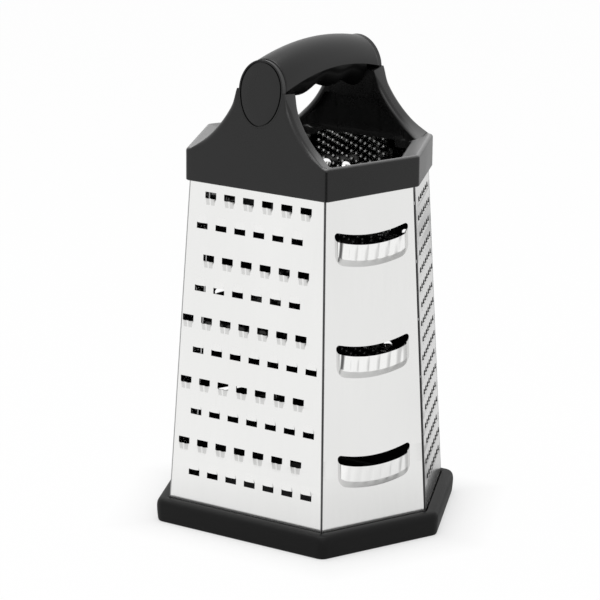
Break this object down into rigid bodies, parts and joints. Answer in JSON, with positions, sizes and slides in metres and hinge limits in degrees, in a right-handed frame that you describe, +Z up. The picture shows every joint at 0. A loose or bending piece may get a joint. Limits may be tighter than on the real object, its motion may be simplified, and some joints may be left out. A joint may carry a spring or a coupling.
{
  "type": "grater",
  "caption": "Hexagonal tower grater: tapered steel body of stamped grating and slicing panels, moulded collar with uprights, arched finger-wave handle and non-slip base ring.",
  "frame": {"origin": "centre of the foot, on the plane that the grater stands on", "axes": "+Z up along the tower; the handle runs along X, with the coarse panel facing -X; the ridges of the hexagon point along Y"},
  "size_m": [0.1246, 0.1524, 0.24],
  "materials": {
    "steel_panels": "bright rolled stainless sheet, punched and ground at the teeth",
    "black_plastic": "matte moulded, fine grain",
    "rubber_ring": "matte soft rubber",
    "screw_steel": "plain zinc-bright steel"
  },
  "bodies": {
    "root": {"ripple_slicer_panel": "steel_panels", "medium_panel": "steel_panels", "shredder_panel": "steel_panels", "plain_slicer_panel": "steel_panels", "rasp_panel": "steel_panels", "coarse_panel": "steel_panels", "base_ring": "rubber_ring", "top_collar": "black_plastic", "grip_shell": "black_plastic", "finger_grip": "black_plastic", "end_cap_left": "black_plastic", "end_cap_right": "black_plastic", "handle_screw_left": "screw_steel", "handle_screw_right": "screw_steel"}
  },
  "joints": []
}
